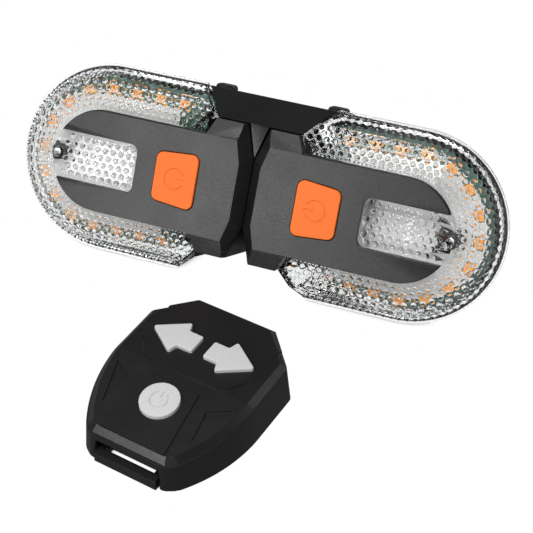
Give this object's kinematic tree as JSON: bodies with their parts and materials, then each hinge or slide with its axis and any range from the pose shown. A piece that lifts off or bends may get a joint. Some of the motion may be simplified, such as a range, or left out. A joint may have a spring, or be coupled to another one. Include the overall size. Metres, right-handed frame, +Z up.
{
  "type": "bicycle turn signal light",
  "caption": "Paired rear turn signal pods that slide off a centre bracket with a seat post clamp, with a hand remote of arrow keys and a power key.",
  "frame": {"origin": "centre of the whole set's footprint, on the floor", "axes": "+X along the pair of pods, to the right as seen from in front; +Y back, towards the seat post clamp; +Z up"},
  "size_m": [0.16, 0.155, 0.0523],
  "materials": {
    "clear_lens": "clear, moulded lenslets",
    "bezel_grey": "fine grain",
    "case_black": "satin",
    "orange_silicone": "satin",
    "green_board": "solder mask",
    "amber_lamp": "clear dish",
    "white_plastic": "satin",
    "black_rubber": "matte",
    "cell_foil": "foil pouch",
    "switch_grey": "moulded",
    "steel": "plated",
    "remote_black": "satin",
    "key_grey": "satin"
  },
  "bodies": {
    "bracket": {"bracket": "case_black", "post_clamp": "case_black", "clamp_liner": "black_rubber", "clamp_nut": "steel", "clamp_base_screws": "steel"},
    "right_pod": {"right_lens": "clear_lens", "right_bezel": "bezel_grey", "right_rear_cover": "case_black", "right_pcb": "green_board", "right_amber_leds": "amber_lamp", "right_reflector": "white_plastic", "right_gasket": "black_rubber", "right_battery": "cell_foil", "right_power_switch": "switch_grey", "right_usb_socket": "steel", "right_case_screws": "steel"},
    "right_button": {"right_button": "orange_silicone"},
    "right_flap": {"right_port_flap": "black_rubber"},
    "right_latch": {"right_latch": "case_black"},
    "left_pod": {"left_lens": "clear_lens", "left_bezel": "bezel_grey", "left_rear_cover": "case_black", "left_pcb": "green_board", "left_amber_leds": "amber_lamp", "left_reflector": "white_plastic", "left_gasket": "black_rubber", "left_battery": "cell_foil", "left_power_switch": "switch_grey", "left_usb_socket": "steel", "left_case_screws": "steel"},
    "left_button": {"left_button": "orange_silicone"},
    "left_flap": {"left_port_flap": "black_rubber"},
    "left_latch": {"left_latch": "case_black"},
    "clamp_screw": {"clamp_screw": "case_black"},
    "remote": {"remote_top_shell": "remote_black", "remote_bottom_cover": "remote_black", "remote_pcb": "green_board", "remote_switches": "switch_grey", "coin_cell": "steel", "cell_clip": "steel", "remote_screws": "steel", "remote_pads": "black_rubber"},
    "right_key": {"right_arrow_key": "key_grey"},
    "left_key": {"left_arrow_key": "key_grey"},
    "power_key": {"power_key": "key_grey"},
    "battery_door": {"battery_door": "remote_black", "door_seal": "black_rubber"}
  },
  "joints": [
    {"name": "right_pod_slide", "type": "slide", "parent": "bracket", "child": "right_pod", "axis": [1, 0, 0], "range_m": [0, 0.024]},
    {"name": "right_button_press", "type": "slide", "parent": "right_pod", "child": "right_button", "axis": [0, 0.8587, -0.5126], "range_m": [0, 0.0008], "stiffness_N_per_m": 1500, "springref_m": -0.0003},
    {"name": "right_flap_hinge", "type": "hinge", "parent": "right_pod", "child": "right_flap", "pos_m": [0.0377, 0.03138, 0.02208], "axis": [0, 0.5126, 0.8587], "range_deg": [0, 110]},
    {"name": "right_latch_press", "type": "slide", "parent": "bracket", "child": "right_latch", "axis": [0, -0.5126, -0.8587], "range_m": [0, 0.0012], "stiffness_N_per_m": 800, "springref_m": -0.0005},
    {"name": "left_pod_slide", "type": "slide", "parent": "bracket", "child": "left_pod", "axis": [-1, 0, 0], "range_m": [0, 0.024]},
    {"name": "left_button_press", "type": "slide", "parent": "left_pod", "child": "left_button", "axis": [0, 0.8587, -0.5126], "range_m": [0, 0.0008], "stiffness_N_per_m": 1500, "springref_m": -0.0003},
    {"name": "left_flap_hinge", "type": "hinge", "parent": "left_pod", "child": "left_flap", "pos_m": [-0.0377, 0.03138, 0.02208], "axis": [0, -0.5126, -0.8587], "range_deg": [0, 110]},
    {"name": "left_latch_press", "type": "slide", "parent": "bracket", "child": "left_latch", "axis": [0, -0.5126, -0.8587], "range_m": [0, 0.0012], "stiffness_N_per_m": 800, "springref_m": -0.0005},
    {"name": "clamp_screw_turn", "type": "hinge", "parent": "bracket", "child": "clamp_screw", "pos_m": [0.0241, 0.05836, 0.01529], "axis": [0, -0.8587, 0.5126], "continuous": true},
    {"name": "remote_lift", "type": "slide", "parent": "bracket", "child": "remote", "axis": [0, 0, 1], "range_m": [0, 0.05]},
    {"name": "right_key_press", "type": "slide", "parent": "remote", "child": "right_key", "axis": [0, 0, -1], "range_m": [0, 0.0007], "stiffness_N_per_m": 1500, "springref_m": -0.0003},
    {"name": "left_key_press", "type": "slide", "parent": "remote", "child": "left_key", "axis": [0, 0, -1], "range_m": [0, 0.0007], "stiffness_N_per_m": 1500, "springref_m": -0.0003},
    {"name": "power_key_press", "type": "slide", "parent": "remote", "child": "power_key", "axis": [0, 0, -1], "range_m": [0, 0.0007], "stiffness_N_per_m": 1500, "springref_m": -0.0003},
    {"name": "battery_door_turn", "type": "hinge", "parent": "remote", "child": "battery_door", "pos_m": [0.00467, -0.04351, 0], "axis": [0, 0, -1], "range_deg": [0, 40]}
  ]
}
